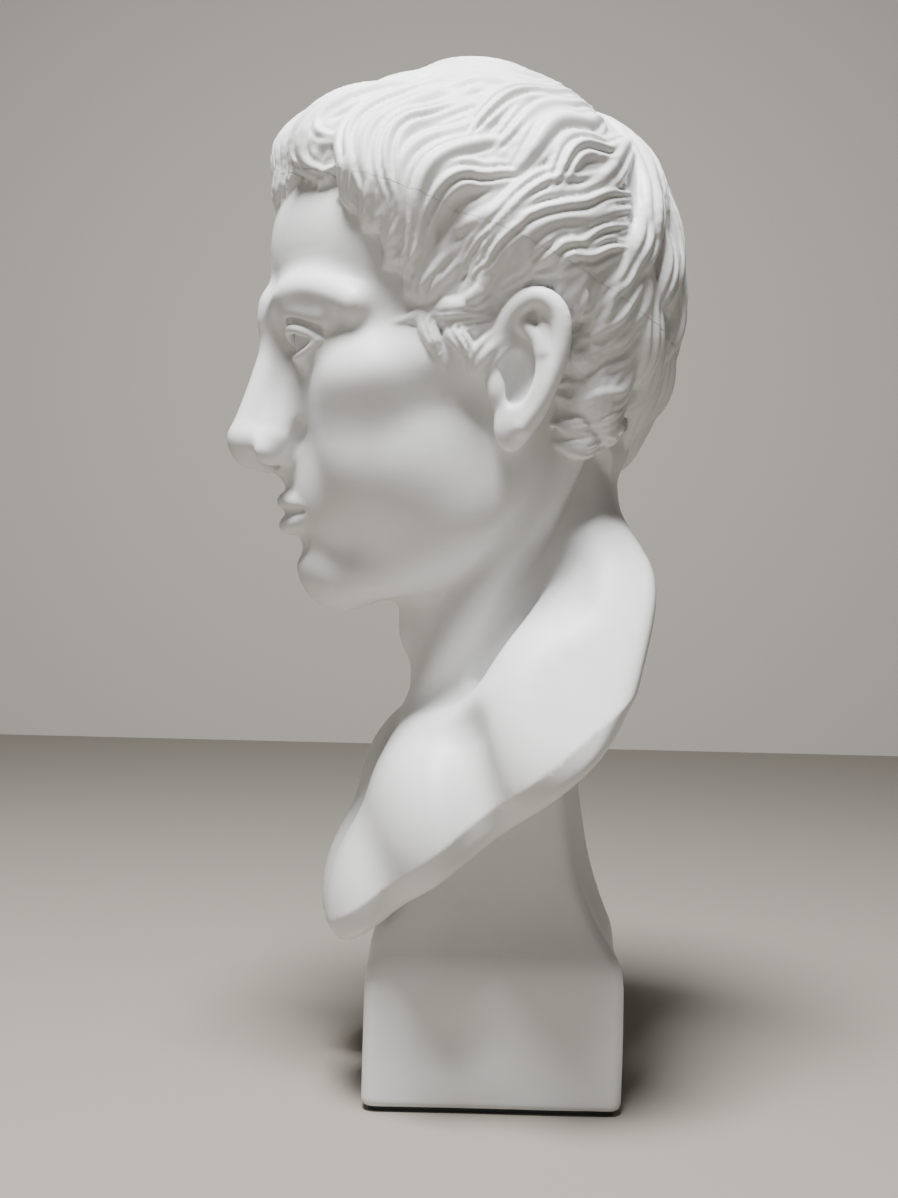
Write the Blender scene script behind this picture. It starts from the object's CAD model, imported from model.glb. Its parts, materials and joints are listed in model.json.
"""Marble bust: the sculpted head, hair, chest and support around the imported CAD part.

Lengths in the modelling are millimetres. +Z is up, the face looks along -Y and the
figure's left is +X, as in the CAD part.
"""

import json
import math

import bpy
import numpy as np
import openvdb
from mathutils import Euler, Matrix, Vector

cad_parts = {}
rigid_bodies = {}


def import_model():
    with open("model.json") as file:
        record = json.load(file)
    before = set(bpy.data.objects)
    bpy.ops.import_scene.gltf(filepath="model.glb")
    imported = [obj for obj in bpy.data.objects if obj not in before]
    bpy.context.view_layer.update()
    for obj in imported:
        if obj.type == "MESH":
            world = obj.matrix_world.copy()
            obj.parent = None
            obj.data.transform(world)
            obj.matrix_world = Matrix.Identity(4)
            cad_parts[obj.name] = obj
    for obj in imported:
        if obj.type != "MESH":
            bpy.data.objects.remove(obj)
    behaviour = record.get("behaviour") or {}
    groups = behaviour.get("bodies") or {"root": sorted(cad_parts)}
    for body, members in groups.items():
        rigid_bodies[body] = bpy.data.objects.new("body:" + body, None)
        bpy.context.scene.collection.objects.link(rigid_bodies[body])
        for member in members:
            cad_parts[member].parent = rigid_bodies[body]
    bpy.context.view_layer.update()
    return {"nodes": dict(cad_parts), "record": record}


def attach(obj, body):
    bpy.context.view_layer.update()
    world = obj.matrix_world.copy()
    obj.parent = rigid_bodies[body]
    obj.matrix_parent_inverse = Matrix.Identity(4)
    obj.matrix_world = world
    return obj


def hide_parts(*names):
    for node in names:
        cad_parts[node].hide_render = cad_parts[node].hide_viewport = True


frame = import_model()
rng = np.random.default_rng(7)

MM = 0.001
TINY = 1e-6
# Spacing of the clay's grid, and the distance that its empty points hold
STEP = 1.25
FAR = 60.0
# Times that a path's corners are cut, and the number of points past which they stay as they are
CORNER_ROUNDS, SMOOTH_ENOUGH = 3, 14
# The least that keeps a reading's grid points inside the grid
LAST_CELL = 1.001
# Depth of the grooves between a lock's strands, and how far past its edge they go
COMB_DEPTH, COMB_EDGE = 0.4, 1.1
# The most that a cut edge's lip leans, as a share of its depth
MOST_LEAN = 1.5
# How close a face's direction and height must be to a joint face's for it to be shaded flat
SAME_WAY, SAME_PLANE = 0.9999, 1e-5

# Frames of the head and chest, and places and slopes of the joints, as in the CAD part
HEAD_LIFT, HEAD_TURN, HEAD_NOD = 286.0, 11.0, 6.0
CHEST_TURN = 6.0
SEAT_Z = 86.0
CUT_FOOT, CUT_SLOPE = (0, -86, 86), 39.5
NECK_SEAT, NECK_SLOPE = (0, 6, 304), 31.0
CROWN_SEAT, CROWN_SLOPE = (0, -64, 222), -28.0
FELT_T = 2.5
# The slice that ends the back between the shoulders
BACK_CUT, BACK_SLOPE = (0, 70, 262), 70.0
# Width of the joints as hairlines on the surface
JOINT_GAP, CROWN_GAP = 0.16, 0.32
# How far the putty stands back from the stone's surface
PUTTY_BACK, CROWN_PUTTY_BACK = 0.1, 0.5


# ---------------------------------------------------------------- clay
def turn_about(x=0.0, y=0.0, z=0.0):
    """Rotation matrix for turns about X, then Y, then Z, in degrees."""
    return np.array(Euler((math.radians(x), math.radians(y), math.radians(z))).to_matrix())


def tilted(degrees):
    """Upward direction of a face that rises by this slope towards +Y."""
    return np.array((0, -math.sin(math.radians(degrees)), math.cos(math.radians(degrees))))


def smooth_path(points, radii):
    """Rounds a path off by cutting its corners, keeping its ends."""
    p = np.column_stack([np.asarray(points, float), np.asarray(radii, float)])
    for _ in range(CORNER_ROUNDS if len(p) > 2 else 0):
        q, r = 0.75 * p[:-1] + 0.25 * p[1:], 0.25 * p[:-1] + 0.75 * p[1:]
        p = np.vstack([p[:1], np.column_stack([q, r]).reshape(-1, 4)[1:-1], p[-1:]])
        if len(p) > SMOOTH_ENOUGH:
            break
    return p[:, :3], p[:, 3]


def ease(x, low, high):
    """0 below low, 1 above high, smooth between."""
    u = np.clip((x - low) / (high - low), 0, 1)
    return u * u * (3 - 2 * u)


class Clay:
    """Modelling clay held as distances to its surface on a grid: negative inside."""

    def __init__(self, low, high, step):
        self.low, self.step = np.array(low, float), step
        count = np.ceil((np.array(high, float) - self.low) / step).astype(int) + 1
        self.axes = [(self.low[k] + step * np.arange(count[k])).astype(np.float32) for k in range(3)]
        self.field = np.full(count, FAR, np.float32)
        self.turn, self.origin = np.eye(3), np.zeros(3)

    def work_in(self, turn, origin):
        """What follows is placed in a frame turned and moved like this."""
        self.turn, self.origin = np.array(turn), np.array(origin, float)

    def world(self, points):
        """Points of the working frame, in the part's frame."""
        return np.asarray(points, float) @ self.turn.T + self.origin

    def local(self, points):
        """Points of the part's frame, in the working frame."""
        return (points - self.origin) @ self.turn

    def window(self, low, high):
        """The grid's part in a box, and its coordinates."""
        first = np.maximum(np.floor((low - self.low) / self.step).astype(int), 0)
        last = np.minimum(np.ceil((high - self.low) / self.step).astype(int) + 1, self.field.shape)
        if (last <= first).any():
            return None
        part = tuple(slice(a, b) for a, b in zip(first, last))
        x, y, z = (self.axes[k][part[k]] for k in range(3))
        return part, x[:, None, None], y[None, :, None], z[None, None, :]

    def everywhere(self):
        """The coordinates of the whole grid."""
        return self.window(self.low, self.low + self.step * np.array(self.field.shape))[1:]

    def beyond(self, at, outward):
        """How far each grid point is past a plane."""
        at, n = self.world(at), self.turn @ (np.array(outward) / np.linalg.norm(outward))
        x, y, z = self.everywhere()
        return n[0] * (x - at[0]) + n[1] * (y - at[1]) + n[2] * (z - at[2])

    def blend(self, part, shape, soft, cut):
        """Adds or cuts a shape, with its edge softened over a width."""
        old = self.field[part]
        if cut:
            shape = -shape
        close = np.maximum(soft - np.abs(old - shape), 0)
        fillet = close * close / (4 * soft)
        self.field[part] = np.maximum(old, shape) + fillet if cut else np.minimum(old, shape) - fillet

    def egg(self, at, radii, soft, tilt=(0, 0, 0), cut=False, pair=False):
        """An ellipsoid; with pair, its mirror image on the other side too."""
        for side in (1, -1) if pair else (1,):
            centre = self.world((at[0] * side, at[1], at[2]))
            spin = self.turn @ turn_about(tilt[0], tilt[1] * side, tilt[2] * side)
            r = np.array(radii, float)
            reach = np.sqrt((spin**2) @ r**2) + soft + 2 * self.step
            found = self.window(centre - reach, centre + reach)
            if found is None:
                continue
            part, x, y, z = found
            far, near = 0, 0
            for k in range(3):
                a = spin[:, k] / r[k]
                q = (a[0] * (x - centre[0]) + a[1] * (y - centre[1])) + a[2] * (z - centre[2])
                far = far + q * q
                near = near + q * q / (r[k] * r[k])
            far, near = np.sqrt(far), np.sqrt(near)
            self.blend(part, (far * (far - 1) / np.maximum(near, TINY)).astype(np.float32), soft, cut)

    def coil(self, points, radii, soft, cut=False, pair=False):
        """A rope of clay through points, with a radius at each; with pair, its mirror image too."""
        points, radii = smooth_path(points, radii)
        for side in (1, -1) if pair else (1,):
            path = self.world(points * np.array([side, 1, 1]))
            reach = radii.max() + soft + 2 * self.step
            found = self.window(path.min(0) - reach, path.max(0) + reach)
            if found is None:
                continue
            part, x, y, z = found
            best = None
            for a, b, ra, rb in zip(path[:-1], path[1:], radii[:-1], radii[1:]):
                d = b - a
                px, py, pz = x - a[0], y - a[1], z - a[2]
                t = np.clip((px * d[0] + py * d[1] + pz * d[2]) / max(d @ d, TINY), 0, 1)
                gap = np.sqrt((px - t * d[0]) ** 2 + (py - t * d[1]) ** 2 + (pz - t * d[2]) ** 2)
                gap = gap - (ra + (rb - ra) * t)
                best = gap if best is None else np.minimum(best, gap)
            self.blend(part, best.astype(np.float32), soft, cut)

    def lock(self, path, out, wide, high, strands, soft):
        """A lock of hair laid along a path, flattened against out and combed into strands."""
        reach = wide.max() + soft + 2 * self.step
        found = self.window(path.min(0) - reach, path.max(0) + reach)
        if found is None:
            return
        part, *grid = found
        best = np.full([axis.size for axis in grid], FAR, np.float32)
        along = np.gradient(path, axis=0)
        along /= np.maximum(np.linalg.norm(along, axis=1, keepdims=True), TINY)
        across = np.cross(along, out)
        across /= np.linalg.norm(across, axis=1, keepdims=True)
        up = np.cross(across, along)
        for i in range(len(path) - 1):
            a, b = path[i], path[i + 1]
            step = b - a
            span = step @ step
            room = max(wide[i], wide[i + 1]) + soft + self.step
            low, top = np.minimum(a, b) - room, np.maximum(a, b) + room
            here = tuple(slice(*np.searchsorted(grid[k].ravel(), (low[k], top[k]))) for k in range(3))
            px, py, pz = grid[0][here[0]] - a[0], grid[1][:, here[1]] - a[1], grid[2][:, :, here[2]] - a[2]

            def reading(way):
                """How far each grid point is from the segment's start, in a direction."""
                return px * way[0] + py * way[1] + pz * way[2]

            raw = reading(step) / max(span, TINY)
            t = np.clip(raw, 0, 1)

            def beside(ways):
                """How far it is from the segment itself, in a direction that turns along it."""
                first = reading(ways[i]) - t * (step @ ways[i])
                return first + t * (reading(ways[i + 1]) - t * (step @ ways[i + 1]) - first)

            w = wide[i] + (wide[i + 1] - wide[i]) * t
            h = high[i] + (high[i + 1] - high[i]) * t
            s, n = beside(across) / w, beside(up)
            comb = np.abs(np.cos(0.5 * math.pi * strands * np.clip(s, -COMB_EDGE, COMB_EDGE)))
            h = h * (1 - COMB_DEPTH * (1 - comb))
            past = (raw - t) * math.sqrt(span) / w
            flat, lift = s * s + past * past, n / h
            far = np.sqrt(flat + lift * lift)
            near = np.sqrt(flat / (w * w) + lift * lift / (h * h))
            best[here] = np.minimum(best[here], far * (far - 1) / np.maximum(near, TINY))
        self.blend(part, best, soft, False)

    def slice_off(self, at, outward, soft):
        """Cuts away everything beyond a plane."""
        self.blend(np.s_[:, :, :], -self.beyond(at, outward).astype(np.float32), soft, True)

    def lean_in(self, at, outward, wide, deep):
        """Leans the surface inward over a band beside a plane, as a lip along a cut edge."""
        lean = deep * np.clip(1 + self.beyond(at, outward) / wide, 0, MOST_LEAN)
        self.field += lean.astype(np.float32)

    def measure(self, points):
        """The distance at each point, read between the eight grid points round it."""
        q = np.clip((np.asarray(points) - self.low) / self.step, 0, np.array(self.field.shape) - LAST_CELL)
        i = q.astype(int)
        f = q - i
        strides = np.array(self.field.strides) // self.field.itemsize
        first, flat, total = i @ strides, self.field.ravel(), 0
        for corner in np.ndindex(2, 2, 2):
            weight = np.where(corner, f, 1 - f).prod(axis=1)
            total = total + weight * flat[first + np.dot(corner, strides)]
        return total

    def outward(self, points, span=1.5):
        """The surface direction at each point."""
        steps = np.eye(3) * span * self.step
        g = np.column_stack([self.measure(points + s) - self.measure(points - s) for s in steps])
        return g / np.maximum(np.linalg.norm(g, axis=1, keepdims=True), TINY)

    def settle(self, points, rounds=3):
        """Moves points onto the surface."""
        for _ in range(rounds):
            points = points - self.outward(points) * self.measure(points)[:, None]
        return points

    def mesh(self, name):
        """The surface as a new object, in metres, with fewer faces where it is flat."""
        grid = openvdb.FloatGrid(background=FAR)
        grid.copyFromArray(self.field)
        points, triangles, quads = grid.convertToPolygons(isovalue=0.0, adaptivity=0.02)
        points = (points * self.step + self.low) * MM
        data = bpy.data.meshes.new(name)
        data.from_pydata(points.tolist(), [], triangles.tolist() + quads.tolist())
        piece = bpy.data.objects.new(name, data)
        bpy.context.collection.objects.link(piece)
        return piece

    def polish(self, piece, caps):
        """Shades a piece by the clay's own surface direction, and its flat joint faces flat."""
        data = piece.data
        spots = np.empty(3 * len(data.vertices))
        data.vertices.foreach_get("co", spots)
        smooth = self.outward(spots.reshape(-1, 3) / MM, span=0.8)
        corner = np.empty(len(data.loops), int)
        data.loops.foreach_get("vertex_index", corner)
        faces = np.empty(3 * len(data.polygons))
        data.polygons.foreach_get("normal", faces)
        sizes = np.empty(len(data.polygons), int)
        data.polygons.foreach_get("loop_total", sizes)
        middles = np.empty(3 * len(data.polygons))
        data.polygons.foreach_get("center", middles)
        faces, middles = faces.reshape(-1, 3), middles.reshape(-1, 3)
        flat = np.zeros(len(sizes), bool)
        for at, outward in caps:
            aligned = faces @ np.array(outward) > SAME_WAY
            flat |= aligned & (np.abs((middles - np.array(at) * MM) @ np.array(outward)) < SAME_PLANE)
        normals = smooth[corner]
        is_flat = np.repeat(flat, sizes)
        normals[is_flat] = np.repeat(faces, sizes, axis=0)[is_flat]
        data.shade_smooth()
        data.normals_split_custom_set(normals.tolist())


# ---------------------------------------------------------------- anatomy
def model_skull(clay):
    """Skull, forehead, face and jaw, in the head's frame: the chin is at its foot."""
    clay.egg((0, 5, 191), (96, 108, 104), 10)
    clay.egg((0, 42, 142), (70, 60, 62), 20)
    clay.egg((0, -46, 200), (78, 74, 78), 22)
    clay.egg((0, -40, 128), (78, 76, 78), 22)
    clay.egg((0, -34, 66), (62, 64, 58), 24)
    # edge of the jaw, from under the ear to the chin
    clay.coil([(66, 4, 112), (64, -4, 54), (44, -56, 28), (14, -88, 20)], [20, 21, 20, 19], 24, pair=True)
    # cheeks and cheekbones
    clay.egg((62, -26, 78), (14, 30, 38), 16, pair=True)
    clay.egg((42, -78, 84), (30, 26, 38), 24, pair=True)
    clay.egg((44, -50, 76), (31, 40, 44), 24, pair=True)
    clay.egg((56, -76, 125), (26, 23, 20), 24, pair=True)
    clay.coil([(62, -64, 130), (80, -20, 136)], [7, 7], 28, pair=True)
    # hollow of the temple
    clay.egg((97, -56, 184), (12, 34, 30), 26, cut=True, pair=True)


def model_brow_and_nose(clay):
    """Brow ridges over hollow sockets, and the nose."""
    clay.coil([(6, -118, 169), (30, -116, 176), (54, -103, 176), (70, -84, 164)], [7, 8, 8, 7], 14, pair=True)
    clay.egg((32, -122, 150), (23, 17, 15), 14, cut=True, pair=True)
    # bridge, side walls, tip, wings, partition, nostrils and the creases round the wings
    clay.coil([(0, -115, 176), (0, -119, 156), (0, -131, 126), (0, -140, 102)], [12, 9, 9.5, 12], 12)
    clay.coil([(10, -106, 152), (14, -114, 122), (16, -124, 100)], [7, 9, 9], 12, pair=True)
    clay.egg((0, -141, 99), (12, 11, 11), 6)
    clay.egg((15, -127, 94), (8.5, 13, 10), 5, tilt=(20, 0, 18), pair=True)
    clay.coil([(0, -142, 91), (0, -124, 85)], [6, 7], 6)
    clay.egg((8.5, -131, 86), (4.2, 8.5, 5), 3, tilt=(0, 0, 22), cut=True, pair=True)
    clay.coil([(23, -112, 104), (20.5, -119, 88)], [1.4, 1.0], 7, cut=True, pair=True)


def model_eyes(clay):
    """Lids raised round each eyeball, which is blank as on carved stone."""
    clay.egg((34, -95, 150), (21.5, 20.5, 19.5), 7, pair=True)
    clay.coil([(13, -106, 160), (24, -112, 166.5), (38, -112, 167.5), (56, -98, 160)], [5.5, 7, 7.5, 6], 7, pair=True)
    clay.egg((34, -117, 149), (20.5, 16, 8.6), 1.6, tilt=(0, 0, 16), cut=True, pair=True)
    clay.egg((33.5, -94.5, 149.5), (18.6, 18.6, 18.6), 1.0, pair=True)
    # rims of the lids, and the crease over the upper one
    upper = [(13.5, -106.5, 147), (22, -114.5, 154.5), (34, -116.5, 157.6), (46, -111.5, 155), (55, -101, 147.5)]
    lower = [(13.5, -106.5, 147), (23, -112.5, 142.5), (35, -113.8, 140.8), (46, -109.5, 142.3), (55, -101, 147.5)]
    clay.coil(upper, [1.6, 2.4, 2.8, 2.6, 1.8], 1.6, pair=True)
    clay.coil(lower, [1.5, 1.9, 2.1, 2.0, 1.7], 2.0, pair=True)
    crease = [(17, -111, 158), (28, -115.5, 163), (42, -113.5, 162.5), (56, -101.5, 154)]
    clay.coil(crease, [0.8, 1.3, 1.3, 0.8], 4, cut=True, pair=True)


def model_mouth_and_chin(clay):
    """Mouth on its rounded ground, and the chin."""
    clay.egg((0, -97, 62), (40, 24, 34), 16)
    clay.egg((0, -98, 23), (25, 19, 19), 16)
    upper = [(30, -105, 56.5), (17, -117.5, 61), (6, -122.5, 64.5), (0, -121.5, 63)]
    lower = [(28, -105, 54), (15, -116.5, 50.5), (0, -119.5, 49.5)]
    clay.coil(upper, [2.2, 4.4, 5.2, 4.8], 4, pair=True)
    clay.coil(lower, [2.6, 5.6, 7.0], 4, pair=True)
    parting = [(31, -107, 56), (17, -121.5, 57), (6, -127, 57.6), (0, -126.5, 56.6)]
    clay.coil(parting, [0.7, 1.5, 1.9, 1.8], 3, cut=True, pair=True)
    # groove over the upper lip, and the hollow under the lower one
    clay.coil([(0, -126, 82), (0, -126, 69)], [2.2, 2.6], 5, cut=True)
    clay.egg((0, -121, 37), (18, 7, 4.5), 9, cut=True)


def model_ears(clay):
    """Both ears: shell, rim, inner ridge, hollow, flap and lobe."""

    def on_ear(u, v, out):
        """A point on the ear: u back from its front edge, v up from its lobe, out from the head."""
        return (85 + out + 0.24 * u, -22 + 0.8 * u + 0.14 * v, 80 + 0.91 * v)

    clay.egg(on_ear(22, 46, 2), (9, 18, 37), 8, tilt=(-8, 0, -14), pair=True)
    clay.egg(on_ear(24, 48, 14), (9, 13, 30), 4, tilt=(-8, 0, -14), cut=True, pair=True)
    rim = [on_ear(9, 45, 6), on_ear(3, 60, 9), on_ear(8, 78, 12), on_ear(24, 86, 14),
           on_ear(40, 74, 15), on_ear(42, 50, 14), on_ear(33, 24, 12), on_ear(22, 10, 10)]
    clay.coil(rim, [3.2, 4.6, 5.6, 6.0, 5.8, 5.2, 4.6, 5.0], 3.5, pair=True)
    ridge = [on_ear(20, 18, 9), on_ear(31, 34, 12), on_ear(31, 52, 12.5), on_ear(22, 66, 11), on_ear(13, 72, 9)]
    clay.coil(ridge, [4.4, 4.0, 3.8, 3.6, 2.6], 4, pair=True)
    clay.coil([on_ear(31, 52, 12.5), on_ear(31, 66, 12), on_ear(28, 74, 11)], [3.4, 3.2, 2.2], 4, pair=True)
    clay.egg(on_ear(15, 38, 8), (11, 8.5, 15), 4, tilt=(-12, 0, 0), cut=True, pair=True)
    clay.egg(on_ear(4, 33, 7), (4, 4.5, 8), 6, pair=True)
    clay.egg(on_ear(15, 9, 5), (5.5, 8, 11), 9, pair=True)


def model_neck(clay):
    """Column of the neck and its nape, and the throat's bump, in the part's own frame."""
    clay.coil([(0, 8, 190), (0, 5, 250), (-2, 8, 300), (-2, 10, 350)], [60, 57, 57, 56], 12)
    clay.coil([(0, 40, 240), (0, 24, 300), (0, 16, 352)], [46, 42, 42], 22)
    clay.egg((-2, -50, 266), (11, 9, 14), 14)


def model_neck_muscles(clay):
    """Muscles from behind the ears to the breastbone, and the hollows behind them, in the part's own frame."""
    near = [(50, 44, 406), (58, 30, 364), (60, 6, 318), (46, -26, 262), (18, -48, 208)]
    off = [(-52, 20, 406), (-60, 12, 362), (-58, -6, 318), (-44, -30, 262), (-14, -48, 208)]
    for path in (near, off):
        clay.coil(path, [14, 15, 15.5, 13.5, 8], 7)
    clay.coil([(75, 36, 332), (69, 9, 286), (58, -14, 240)], [6, 8, 6], 7, cut=True)
    clay.coil([(-74, 22, 326), (-64, 0, 284), (-52, -18, 240)], [4, 6, 4], 11, cut=True)


def model_chest(clay):
    """Ribs, shoulders, breast and collarbones, and the muscle from nape to shoulder."""
    clay.egg((0, 24, 140), (126, 104, 112), 20)
    clay.egg((94, 28, 208), (54, 50, 66), 26, pair=True)
    clay.egg((0, 46, 262), (66, 44, 70), 26)
    # muscle from the nape, behind and beside the neck
    clay.coil([(22, 44, 340), (46, 51, 312), (82, 57, 276), (116, 50, 246)], [15, 21, 27, 26], 20, pair=True)
    clay.coil([(38, 46, 334), (64, 36, 298), (82, 14, 256), (84, -8, 222)], [10, 13, 17, 16], 12, pair=True)
    # breast and collarbones
    clay.egg((58, -36, 150), (52, 37, 58), 30, tilt=(10, 0, -10), pair=True)
    clay.egg((38, -72, 102), (46, 26, 40), 28, pair=True)
    clay.coil([(8, -50, 201), (44, -47, 200), (72, -30, 208), (92, -8, 224)], [7, 8, 9, 9], 15, pair=True)
    # pit of the throat, breastbone with its groove, and the fold between breast and shoulder
    clay.egg((0, -62, 210), (11, 8, 13), 18, cut=True)
    clay.egg((0, -66, 106), (46, 24, 44), 26)
    clay.coil([(0, -84, 190), (0, -94, 130), (0, -92, 66)], [2, 4, 2], 22, cut=True)
    clay.coil([(98, -34, 214), (113, -27, 186), (120, -24, 152)], [4, 7, 5], 20, cut=True, pair=True)
    # slices that end the shoulders and the back
    for side in (1, -1):
        clay.slice_off((side * 129, 30, 216), (side * 0.88, -0.1, 0.46), 16)
    clay.slice_off(BACK_CUT, -tilted(BACK_SLOPE), 14)


# ---------------------------------------------------------------- hair
# Where the hair turns at the back of the head, and the size of that whorl
WHORL, WHORL_SIZE = np.array([6.0, 50.0, 294.0]), 34
# Middle of the skull, and the start, end and step of a search outward from it
SKULL_MIDDLE, SEARCH = [0, 6, 178], (40, 175, 1.5)
# Foot, top and reach of the box that holds the scalp
SCALP_FOOT, SCALP_TOP, SCALP_REACH = (0, 0, 40), (0, 0, 330), 190
# Number of locks sown for the ground of the hair, how far over the hairline they start, and the points of each
GROUND_LOCKS, ROOT_MARGIN, LOCK_POINTS = 190, 12, 12
# Length of a lock's waves, and how strongly a lock waves and turns along its way
WAVE_LENGTH, WAVE_PULL, TURN_PULL = 62, 3, 2.2
# Width over which a lock melts into what is under it
LOCK_SOFT = 2.5
# Y and height of the hairline's points, from the forehead round the temple and the ear to the nape
HAIRLINE = np.array([(-124, 258), (-103, 247), (-86, 236), (-75, 214), (-55, 178), (-44, 158), (-34, 146), (-20, 150),
                     (-8, 166), (8, 174), (24, 166), (31, 128), (38, 102), (48, 80), (62, 62), (110, 62)], float)


def above_hairline(local):
    """How far a spot in the head's frame is above the hairline."""
    x, y, z = local[..., 0], local[..., 1], local[..., 2]
    line = np.interp(y, HAIRLINE[:, 0], HAIRLINE[:, 1])
    front = ease(-y, 60, 105) * (1 - ease(np.abs(x), 30, 70))
    return z - (line + front * 6)


def lay_cap(clay, thick):
    """Raises the scalp by the hair's ground thickness."""
    part, x, y, z = clay.window(clay.world(SCALP_FOOT) - SCALP_REACH, clay.world(SCALP_TOP) + SCALP_REACH)
    grid = np.stack(np.broadcast_arrays(x, y, z), axis=-1) - clay.origin.astype(np.float32)
    local = grid @ clay.turn.astype(np.float32)
    clay.field[part] -= (thick * ease(above_hairline(local), -4, 15)).astype(np.float32)


def flow(local):
    """The way the hair lies in the head's frame: forward over the head, down at the back and sides."""
    away = local - WHORL
    far = np.linalg.norm(away, axis=-1, keepdims=True)
    near, away = np.exp(-far / WHORL_SIZE), away / np.maximum(far, TINY)
    y, z = local[..., 1], local[..., 2]
    # angle below level, which grows down the sides, towards the nape and over the forehead
    dip = 0.12 + 0.62 * ease(-z, -275, -205) + 0.75 * ease(y, 55, 110)
    dip = dip + 0.35 * ease(-y, 55, 95) * ease(-z, -265, -225)
    forward = np.stack([0 * y, -np.cos(dip), -np.sin(dip)], axis=-1)
    return forward + 2.4 * near * away


def grow(clay, roots, heading, follow, length, turn, wave, phase):
    """Traces locks over the scalp from their roots; returns their paths and outward directions."""
    point, way = clay.settle(roots, rounds=4), heading.copy()
    paths, outs = [point], [clay.outward(point)]
    stride = (length / (LOCK_POINTS - 1))[:, None]
    for i in range(1, LOCK_POINTS):
        out = outs[-1]
        u = i / (LOCK_POINTS - 1)
        local = clay.local(point)
        wish = flow(local) @ clay.turn.T
        wish = wish / np.linalg.norm(wish, axis=1, keepdims=True)
        way = way * (1 - follow[:, None]) + wish * follow[:, None]
        way = way - out * (way * out).sum(1, keepdims=True)
        way = way / np.linalg.norm(way, axis=1, keepdims=True)
        bend = turn * u * u / LOCK_POINTS * TURN_PULL
        bend = bend + wave * np.cos(2 * math.pi * u * length / WAVE_LENGTH + phase) / LOCK_POINTS * WAVE_PULL
        across = np.cross(out, way)
        way = way * np.cos(bend)[:, None] + across * np.sin(bend)[:, None]
        # a lock that reaches the hairline all but stops
        room = ease(above_hairline(local), -9, 2)[:, None]
        point = clay.settle(point + way * stride * (0.04 + 0.96 * room), rounds=2)
        paths.append(point)
        outs.append(clay.outward(point))
    return np.stack(paths, 1), np.stack(outs, 1)


def touch(clay, start, way):
    """Where rays leave the clay; they start and point in its working frame."""
    start, way = clay.world(start), np.asarray(way, float) @ clay.turn.T
    steps = np.arange(*SEARCH)
    depth = np.array([clay.measure(start + way * r) for r in steps])
    return clay.settle(start + way * steps[(depth > 0).argmax(0)][:, None])


def scatter_roots(clay, count, margin):
    """Evenly spread spots on the scalp, at least a margin above the hairline."""
    k = np.arange(count) + 0.5
    # a spiral of golden angles, from straight up to well below the skull's middle
    up = 1 - 1.6 * k / count
    spin = k * math.pi * (3 - math.sqrt(5))
    ring = np.sqrt(1 - up * up)
    ways = np.column_stack([ring * np.cos(spin), ring * np.sin(spin), up])
    ways = ways + rng.normal(0, 0.035, ways.shape)
    ways = ways / np.linalg.norm(ways, axis=1, keepdims=True)
    roots = touch(clay, np.tile(SKULL_MIDDLE, (count, 1)), ways)
    return roots[above_hairline(clay.local(roots)) > margin]


def lay_locks(clay, paths, outs, wide, high, lift, strands):
    """Lays locks along their paths: thin at the root, full in the middle, drawn to a point."""
    for path, out, w, h, up, count in zip(paths, outs, wide, high, lift, strands):
        run = np.append(0, np.linalg.norm(np.diff(path, axis=0), axis=1).cumsum())
        u, small = run / run[-1], min(run[-1] / (3.2 * w), 1)
        body = small * np.sin(math.pi * np.clip(u * 0.88 + 0.12, 0, 1)) ** 0.75
        path = path + out * (small * up * np.sin(math.pi * u**1.4) + 1.2 * u - 0.6)[:, None]
        clay.lock(path, out, w * body + 0.5, h * body + 0.4, count, LOCK_SOFT)


def comb_scalp(clay):
    """Covers the scalp with overlapping wavy locks, the ground of the hair."""
    roots = scatter_roots(clay, GROUND_LOCKS, ROOT_MARGIN)
    local, many = clay.local(roots), len(roots)
    top = ease(local[:, 2], 205, 275)
    length = (54 + 36 * top) * rng.uniform(0.85, 1.2, many)
    # most locks curl the same way on their side of the head
    side = np.where(rng.random(many) < 0.62, 1.0, -1.0) * np.sign(local[:, 0] + 1e-3)
    turn = side * rng.uniform(0.3, 1.3, many) * (1 - 0.5 * top)
    wave = rng.uniform(0.5, 0.9, many)
    # neighbours wave together
    phase = local[:, 2] * 0.05 + local[:, 1] * 0.03 + rng.normal(0, 0.35, many)
    paths, outs = grow(clay, roots, flow(local) @ clay.turn.T, np.full(many, 0.3), length, turn, wave, phase)
    lay_locks(clay, paths, outs, rng.uniform(8.5, 12.5, many), rng.uniform(4.6, 7.0, many),
              rng.uniform(0.4, 3.4, many), rng.integers(2, 4, many))


def fan(clay, first, last, count, wide, high, lift, sway, hook=0.0):
    """A fan of locks on each side of the head, between two guide lines.

    They sway together, and hook across at their tips. It gives their paths, outward directions and size.
    """
    paths = []
    for side in (1, -1):
        for t in np.linspace(0, 1, count):
            guide = np.array(first, float) * (1 - t) + np.array(last, float) * t
            guide = (guide + rng.normal(0, 1.8, guide.shape)) * (side, 1, 1)
            line, _ = smooth_path(guide, np.ones(len(guide)))
            path = clay.settle(clay.world(line), rounds=4)
            across = np.cross(clay.outward(path), np.gradient(path, axis=0))
            across = side * across / np.linalg.norm(across, axis=1, keepdims=True)
            u = np.linspace(0, 1, len(path))
            # a little over one wave along the lock, starting from its root
            drift = sway * np.sin(7.5 * u + rng.normal(0.6, 0.3)) * ease(u, 0, 0.35)
            drift = drift + (hook + rng.normal(0, 2.5)) * ease(u, 0.5, 1.1)
            paths.append(clay.settle(path + across * drift[:, None], rounds=3))
    paths = np.array(paths)
    return paths, np.array([clay.outward(path) for path in paths]), wide, high, lift


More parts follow.
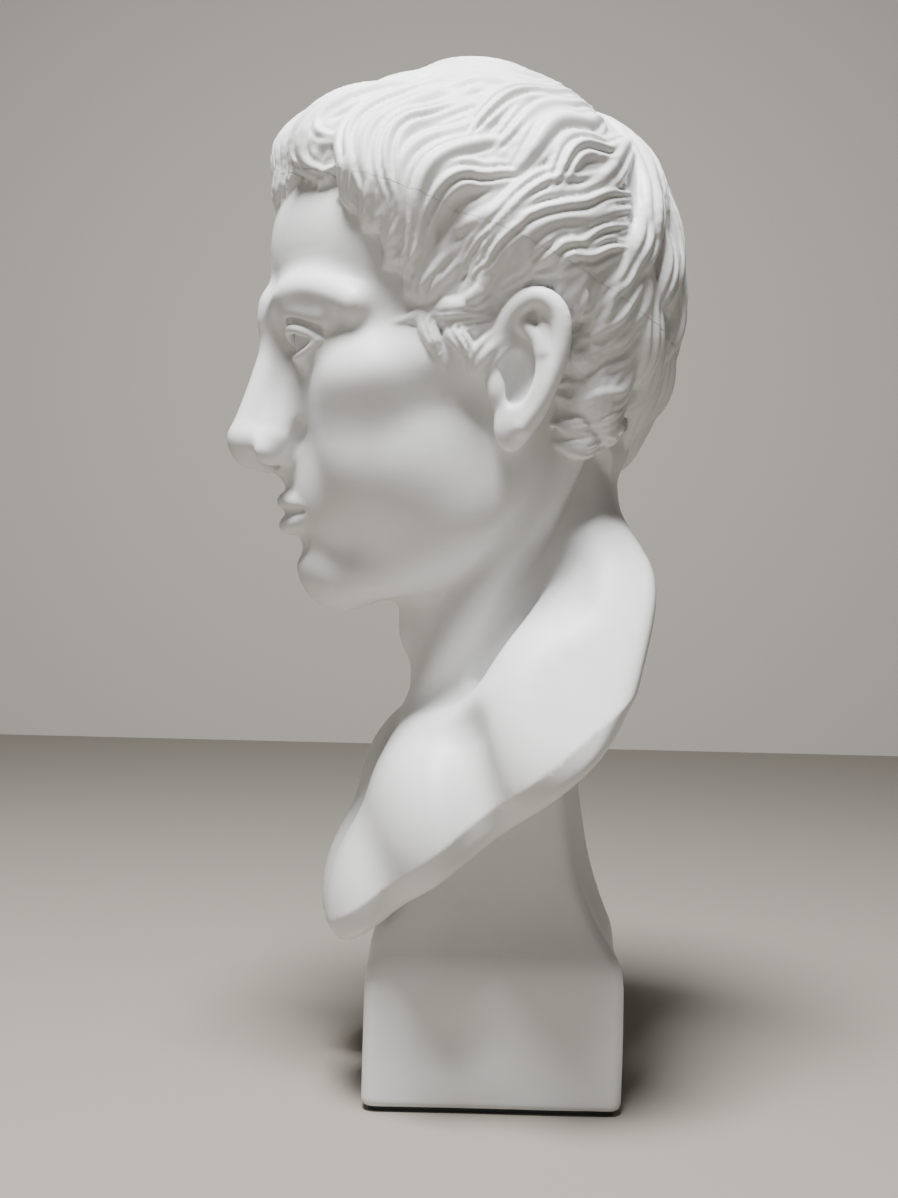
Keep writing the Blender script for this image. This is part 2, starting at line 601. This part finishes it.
def plan_hair(clay):
    """The large locks laid over the ground, traced on the bare cap, from the lowest to the topmost."""
    return [
        # stacked strands behind the ear
        fan(clay, [(78, 78, 190), (85, 58, 166), (88, 42, 152), (90, 26, 148)],
            [(66, 74, 98), (72, 56, 82), (76, 40, 76), (78, 22, 82)], 7, 8, 5.5, 2.4, 2),
        # the mass over the ear, its tips hanging in front of it
        fan(clay, [(80, 66, 226), (86, 32, 215), (86, -1, 197), (82, -27, 170)],
            [(84, 62, 186), (89, 33, 182), (90, 6, 170), (86, -20, 150)], 5, 10.5, 8, 3.6, 3.5, -3),
        # the long waves over the top of the head
        fan(clay, [(16, 48, 300), (16, 14, 304), (18, -20, 299), (24, -56, 283)],
            [(50, 52, 268), (55, 18, 258), (54, -14, 262), (46, -44, 272)], 4, 13, 7.5, 2.8, 5),
        # the swell that hangs over the mass at the side
        fan(clay, [(48, 50, 270), (60, 26, 256), (70, 2, 248), (79, -20, 230)],
            [(62, 68, 242), (72, 48, 236), (80, 29, 222), (86, 10, 204)], 4, 12, 9, 5.6, 3, -4),
        # the heavy fan over the temple
        fan(clay, [(84, 14, 214), (82, -6, 222), (79, -26, 218), (77, -45, 199), (78, -54, 168)],
            [(50, -14, 282), (54, -40, 272), (60, -64, 252), (66, -78, 228), (72, -72, 202)], 6, 11, 9, 5, 3, 5),
        # the hooks in front of the ear
        fan(clay, [(88, -4, 154), (86, -20, 156), (80, -40, 155), (74, -60, 153)],
            [(88, -4, 152), (85, -22, 158), (79, -46, 147), (80, -41, 126)], 3, 6, 4.2, 1.8, 1),
        fan(clay, [(88, -6, 146), (86, -20, 147), (82, -35, 138), (82, -30, 122)],
            [(88, -4, 138), (87, -14, 138), (84, -22, 130), (84, -20, 117)], 2, 6.5, 4.4, 2, 1),
        # the fringe, its hooks hanging free of the forehead
        fan(clay, [(4, -50, 296), (6, -82, 286), (4, -108, 264), (-5, -120, 232)],
            [(30, -50, 288), (30, -82, 276), (27, -102, 258), (16, -113, 236)], 4, 10.5, 9, 4.4, 2, 5),
        # the big hooks that hang over the temple's corner
        fan(clay, [(42, -30, 282), (44, -62, 276), (46, -84, 262), (50, -82, 244), (58, -68, 240)],
            [(38, -40, 284), (38, -72, 276), (36, -98, 258), (42, -96, 236), (52, -84, 230)], 3, 10.5, 10, 5.5, 1, 3),
    ]


def dress_hair(clay, plan):
    """Lays the planned locks, with a notch cut under the swell at the side before and after.

    The notch cut under the temple's fan is part filled again when the locks lie over it.
    """
    clay.coil([(76, -17, 228), (83, 2, 215), (87, 20, 205)], [2, 4, 2], 6, cut=True, pair=True)
    clay.coil([(82, -48, 168), (88, -28, 164), (93, -12, 160)], [1, 2, 1], 9, cut=True, pair=True)
    for paths, outs, wide, high, lift in plan:
        many = len(paths)
        lay_locks(clay, paths, outs, wide * rng.uniform(0.88, 1.1, many), high * rng.uniform(0.9, 1.1, many),
                  lift * rng.uniform(0.6, 1.4, many), rng.integers(2, 4, many))
    clay.coil([(78, -53, 168), (85, -38, 165.5), (89, -26, 165)], [3, 4.5, 3.5], 6, pair=True)
    crease = np.array([(80, -22, 232), (87, -4, 221), (91, 14, 208)])
    for side in (1, -1):
        line = clay.settle(clay.world(crease * (side, 1, 1)), rounds=6)
        clay.coil(clay.local(line), [2.5, 5.5, 2.5], 3.5, cut=True)


part_frame = (np.eye(3), (0, 0, 0))
chest_frame = (turn_about(0, 0, CHEST_TURN), (0, 0, 0))
head_turn = turn_about(0, 0, HEAD_TURN) @ turn_about(HEAD_NOD)
head_frame = (head_turn, (0, 0, HEAD_LIFT))

bust = Clay((-166, -172, 60), (166, 132, 612), STEP)
bust.work_in(*chest_frame)
model_chest(bust)
bust.work_in(*part_frame)
model_neck(bust)
bust.work_in(*head_frame)
model_skull(bust)
bust.work_in(*part_frame)
model_neck_muscles(bust)
bust.work_in(*head_frame)
model_brow_and_nose(bust)
model_mouth_and_chin(bust)
model_eyes(bust)
lay_cap(bust, thick=7)
# the large locks are traced on the bare cap, and laid when the ground is combed
plan = plan_hair(bust)
comb_scalp(bust)
dress_hair(bust, plan)
model_ears(bust)
bust.work_in(*part_frame)
bust.lean_in(CUT_FOOT, -tilted(CUT_SLOPE), wide=15, deep=6)
bust.slice_off(CUT_FOOT, -tilted(CUT_SLOPE), soft=7)


def model_base(clay):
    """The plinth and its flared support in one, with a soft shoulder between them."""
    x, y, z = clay.everywhere()
    # half sizes: the flare falls away over a height above the seat
    waist_x, waist_y, flare, height = 40, 37, 35, 36
    over = 4 * np.logaddexp(0, (z - (SEAT_Z - 3)) / 4)
    fall = np.exp(-over / height)
    wide, deep = waist_x + flare * fall, waist_y + flare * fall
    steep = np.sqrt(1 + (flare / height * fall * ease(z, SEAT_Z - 12, SEAT_Z + 4)) ** 2)
    # a rounded square at each height, with the uneven surface of hand work
    edge, unevenness = 8.0, 0.35
    across, along = np.abs(x) - (wide - edge), np.abs(y) - (deep - edge)
    ring = np.sqrt(np.maximum(across, 0) ** 2 + np.maximum(along, 0) ** 2) + np.minimum(np.maximum(across, along), 0)
    ripple = np.sin(x / 17 + 1.1) * np.sin(y / 21 + z / 26) + np.sin(y / 13 + 2.0) * np.sin(z / 15 + x / 31)
    clay.field[:] = (ring - edge) / steep + unevenness * ripple
    # strut behind, and shallow hollows in the four sides
    clay.coil([(2, 48, 92), (2, 40, 130), (0, 30, 200)], [20, 15, 15], 16)
    clay.egg((224, -14, 40), (150.5, 90, 60), 10, tilt=(24, 0, 0), cut=True, pair=True)
    clay.egg((8, -221, 44), (90, 150.5, 60), 10, cut=True)
    clay.egg((-6, 221, 46), (90, 150.5, 60), 10, cut=True)
    clay.slice_off((0, 0, FELT_T), (0, 0, -1), 4)


base = Clay((-82, -80, -4), (82, 80, 236), STEP * 1.2)
model_base(base)


# ---------------------------------------------------------------- pieces
def discard(piece):
    """Removes an object and its mesh."""
    data = piece.data
    bpy.data.objects.remove(piece)
    bpy.data.meshes.remove(data)


def cut_piece(name, clay, whole, cuts, set_back=0.0):
    """A closed piece of a whole: its part beyond each (point, outward direction) is cut away.

    Only its largest shell stays, without the closed pockets and specks that overlapping locks leave.
    """
    piece = whole.copy()
    piece.data = whole.data.copy()
    piece.name = piece.data.name = name
    bpy.context.collection.objects.link(piece)
    bpy.ops.object.select_all(action="DESELECT")
    piece.select_set(True)
    bpy.context.view_layer.objects.active = piece
    bpy.ops.object.mode_set(mode="EDIT")
    if set_back:
        bpy.ops.mesh.select_all(action="SELECT")
        bpy.ops.transform.shrink_fatten(value=-set_back * MM)
    for at, outward in cuts:
        bpy.ops.mesh.select_all(action="SELECT")
        bpy.ops.mesh.bisect(plane_co=Vector(at) * MM, plane_no=outward, use_fill=True, clear_outer=True)
    bpy.ops.mesh.select_all(action="SELECT")
    bpy.ops.mesh.quads_convert_to_tris(quad_method="SHORTEST_DIAGONAL", ngon_method="BEAUTY")
    before = set(bpy.data.objects)
    bpy.ops.mesh.separate(type="LOOSE")
    bpy.ops.object.mode_set(mode="OBJECT")
    shells = [piece] + [other for other in bpy.data.objects if other not in before]
    piece = max(shells, key=lambda shell: len(shell.data.polygons))
    for shell in shells:
        if shell is not piece:
            discard(shell)
    piece.name = piece.data.name = name
    clay.polish(piece, cuts)
    return piece


def joint(at, up, gap):
    """The faces of a joint: of the piece below its gap, and of the piece above it.

    Each is a point and the direction that points out of its piece.
    """
    at, up = Vector(at), Vector(up)
    return (at - up * gap / 2, up), (at + up * gap / 2, -up)


def between_faces(faces):
    """The two faces of the bed in a joint, each against a piece's own."""
    below, above = faces
    return [(above[0], -above[1]), (below[0], -below[1])]


LOW, HIGH = 0, 1
neck = joint(NECK_SEAT, tilted(NECK_SLOPE), JOINT_GAP)
crown_seat = head_turn @ np.array(CROWN_SEAT, float) + (0, 0, HEAD_LIFT)
crown = joint(crown_seat, head_turn @ tilted(CROWN_SLOPE), CROWN_GAP)
cut = joint(CUT_FOOT, tilted(CUT_SLOPE), JOINT_GAP)
seat = joint((0, 0, SEAT_Z), (0, 0, 1), JOINT_GAP)

stone = bust.mesh("stone")
ground = base.mesh("ground")
carved_plan = {
    "carved_chest": (bust, stone, [neck[LOW]]),
    "carved_head": (bust, stone, [neck[HIGH], crown[LOW]]),
    "carved_crown": (bust, stone, [crown[HIGH]]),
    "carved_support": (base, ground, [seat[HIGH], cut[LOW]]),
    "carved_plinth": (base, ground, [seat[LOW]]),
}
bed_plan = {
    "neck_putty": (bust, stone, between_faces(neck), PUTTY_BACK),
    "crown_putty": (bust, stone, between_faces(crown), CROWN_PUTTY_BACK),
    "plinth_putty": (base, ground, between_faces(seat), PUTTY_BACK),
    "support_putty": (base, ground, between_faces(cut), PUTTY_BACK),
}
carved = {name: cut_piece(name, *how) for name, how in carved_plan.items()}
beds = {name: cut_piece(name, *how) for name, how in bed_plan.items()}
discard(stone)
discard(ground)


# ---------------------------------------------------------------- finishes
class Value:
    """A shader socket that takes sums and products like a number."""

    def __init__(self, paint, socket):
        self.paint, self.socket = paint, socket

    def _with(self, operation, *others):
        """A Math node on this value and others, in that order."""
        return self.paint.add("Math", {"operation": operation}, dict(enumerate((self, *others))))

    def __add__(self, other):
        return self._with("ADD", other)

    def __sub__(self, other):
        return self._with("SUBTRACT", other)

    def __rsub__(self, other):
        return self.paint.add("Math", {"operation": "SUBTRACT"}, {0: other, 1: self})

    def __mul__(self, other):
        return self._with("MULTIPLY", other)

    def __abs__(self):
        return self._with("ABSOLUTE")

    __radd__, __rmul__ = __add__, __mul__


class Paint:
    """A material, written as expressions on its shader sockets."""

    def __init__(self, name):
        self.material = bpy.data.materials.new(name)
        self.material.use_nodes = True
        self.tree = self.material.node_tree
        self.shader = self.tree.nodes["Principled BSDF"]
        self.place = self.add("TexCoord", {}, {}, "Object")

    def add(self, kind, settings, inputs, output=0):
        """Any other shader node: its settings, its inputs, and the socket that it gives."""
        node = self.tree.nodes.new("ShaderNode" + kind)
        for key, value in settings.items():
            setattr(node, key, value)
        for key, value in inputs.items():
            self.feed(node.inputs[key], value)
        return Value(self, node.outputs[output])

    def feed(self, socket, value):
        """Links a value to a socket, or sets a plain number, colour or vector on it."""
        if isinstance(value, Value):
            self.tree.links.new(value.socket, socket)
        elif socket.type == "RGBA":
            socket.default_value = (*value, 1)
        else:
            socket.default_value = value

    def noise(self, scale, detail, distortion=0.0, stretch=(1, 1, 1)):
        """Noise from 0 to 1; scale is its waves to the metre."""
        place = self.add("Mapping", {}, {"Vector": self.place, "Scale": stretch})
        return self.add("TexNoise", {}, {"Vector": place, "Scale": scale, "Detail": detail, "Distortion": distortion})

    def between(self, amount, low, high):
        """0 where an amount is below low, 1 where it is above high, smooth between."""
        inputs = {"Value": amount, "From Min": low, "From Max": high}
        return self.add("MapRange", {"interpolation_type": "SMOOTHSTEP"}, inputs)

    def mix(self, amount, first, second):
        """A colour between two, by an amount."""
        return self.add("Mix", {"data_type": "RGBA"}, {0: amount, 6: first, 7: second}, 2)

    def bump(self, height, strength, distance, normal=None):
        """A relief of this depth in metres, on top of another one if that is given."""
        inputs = {"Height": height, "Strength": strength, "Distance": distance}
        if normal is not None:
            inputs["Normal"] = normal
        return self.add("Bump", {}, inputs)

    def finish(self, **sockets):
        """Sets or links the shader's sockets, and gives the material."""
        for key, value in sockets.items():
            self.feed(self.shader.inputs[key.replace("_", " ")], value)
        return self.material


def marble():
    """White statuary marble, honed satin: faint clouds, a few soft veins, dust of handling."""
    m = Paint("marble")
    clouds = m.noise(9, 4, 0.6)
    vein_path = m.noise(5.5, 5, 1.6, (1, 1.3, 0.7))
    veins = (1 - m.between(abs(vein_path - 0.5), 0.0, 0.02)) * m.between(m.noise(3, 2), 0.5, 0.72)
    grain = m.noise(420, 2)
    wear = m.noise(38, 4)
    white = m.mix(m.between(clouds, 0.35, 0.7), (0.775, 0.77, 0.755), (0.815, 0.815, 0.81))
    white = m.mix(veins * 0.18, white, (0.60, 0.60, 0.60))
    white = m.mix(m.between(wear, 0.56, 0.75) * 0.14, white, (0.62, 0.57, 0.50))
    surface = m.bump(grain, 0.10, 0.0003)
    surface = m.bump(wear, 0.25, 0.0012, surface)
    return m.finish(Base_Color=white, Roughness=0.38 + 0.16 * wear, Normal=surface, Specular_IOR_Level=0.4,
                    Subsurface_Weight=0.1, Subsurface_Radius=(1.0, 0.85, 0.7), Subsurface_Scale=0.002)


def speckled(name, colour, other, scale, rough, depth=0.0002):
    """A matt finish with fine mottling between two colours."""
    m = Paint(name)
    spots = m.noise(scale, 3)
    return m.finish(Base_Color=m.mix(m.between(spots, 0.35, 0.65), colour, other), Roughness=rough + 0.12 * spots,
                    Normal=m.bump(spots, 0.3, depth))


def brushed_steel():
    """Stainless steel with fine lines along the rod."""
    m = Paint("stainless_steel")
    lines = m.noise(60, 2, stretch=(8, 8, 0.4))
    return m.finish(Base_Color=m.mix(lines, (0.52, 0.53, 0.55), (0.68, 0.69, 0.71)), Metallic=1.0,
                    Roughness=0.24 + 0.18 * lines, Normal=m.bump(lines, 0.15, 0.0001))


def wool_felt():
    """Dark pressed wool."""
    m = Paint("wool_felt")
    fibres = m.noise(900, 4, 1.2)
    return m.finish(Base_Color=m.mix(fibres, (0.018, 0.02, 0.018), (0.07, 0.075, 0.068)), Roughness=0.95,
                    Normal=m.bump(fibres, 0.7, 0.0004), Sheen_Weight=0.3)


finish = {
    "marble": marble(),
    "putty": speckled("lime_putty", (0.78, 0.77, 0.74), (0.84, 0.83, 0.81), 300, 0.7),
    "resin": speckled("anchoring_resin", (0.60, 0.52, 0.34), (0.70, 0.63, 0.45), 120, 0.25),
    "steel": brushed_steel(),
    "felt": wool_felt(),
    "cork": speckled("cork", (0.42, 0.27, 0.14), (0.60, 0.43, 0.25), 260, 0.8, depth=0.0006),
}
stands_for = {
    "carved_chest": "chest", "carved_head": "head", "carved_crown": "crown",
    "carved_support": "flared_support", "carved_plinth": "plinth_block",
    "neck_putty": "neck_bed", "crown_putty": "crown_bed", "plinth_putty": "plinth_bed", "support_putty": "support_bed",
}
for name, piece in (carved | beds).items():
    kind = "marble" if name in carved else "putty"
    piece.data.materials.append(finish[kind])
    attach(piece, "root")
    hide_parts(stands_for[name])
slot_of = {part["node"]: part["material_slot"] for part in frame["record"]["subparts"]}
for node, obj in frame["nodes"].items():
    if node not in stands_for.values():
        obj.data.materials.clear()
        obj.data.materials.append(finish[slot_of[node]])


# ---------------------------------------------------------------- stage
def backdrop(name, colour, location, rotation=(0, 0, 0)):
    """A large plain sheet, painted matt."""
    bpy.ops.mesh.primitive_plane_add(size=8, location=location, rotation=rotation)
    sheet = bpy.context.object
    sheet.name = name
    sheet.data.materials.append(Paint(name + "_paint").finish(Base_Color=colour, Roughness=0.8))
    return sheet


floor = backdrop("floor", (0.27, 0.245, 0.21), (0, 0, 0))
wall = backdrop("wall", (0.55, 0.51, 0.46), (-2, 0, 0), (0, math.pi / 2, 0))


def soft_light(name, at, aim, size, watts, tint):
    """A square lamp that points at a spot."""
    data = bpy.data.lights.new(name, "AREA")
    data.size, data.energy, data.color = size, watts, tint
    lamp = bpy.data.objects.new(name, data)
    lamp.location = at
    lamp.rotation_euler = (Vector(aim) - Vector(at)).to_track_quat("-Z", "Y").to_euler()
    bpy.context.collection.objects.link(lamp)


soft_light("window", (0.46, -0.2, 1.78), (0, 0, 0.35), 0.5, 96, (0.97, 0.985, 1))
soft_light("fill", (2.0, -1.0, 0.7), (0, 0, 0.3), 1.8, 4, (1, 0.97, 0.93))
world = bpy.data.worlds.new("room")
bpy.context.scene.world = world
world.use_nodes = True
sky = world.node_tree.nodes["Background"].inputs
sky["Color"].default_value = (0.8, 0.8, 0.82, 1)
sky["Strength"].default_value = 0.06

# ---------------------------------------------------------------- camera
CAMERA_AT, CAMERA_LENS, CAMERA_ROLL = (0.896, -0.030, 0.282), 45.1, math.radians(1.4)
camera = bpy.data.objects.new("camera", bpy.data.cameras.new("camera"))
camera.data.lens = CAMERA_LENS
right = Vector((0, math.cos(CAMERA_ROLL), math.sin(CAMERA_ROLL)))
up = Vector((0, -math.sin(CAMERA_ROLL), math.cos(CAMERA_ROLL)))
back = Vector((1, 0, 0))
camera.matrix_world = Matrix.Translation(CAMERA_AT) @ Matrix((right, up, back)).transposed().to_4x4()
bpy.context.collection.objects.link(camera)
bpy.context.scene.camera = camera
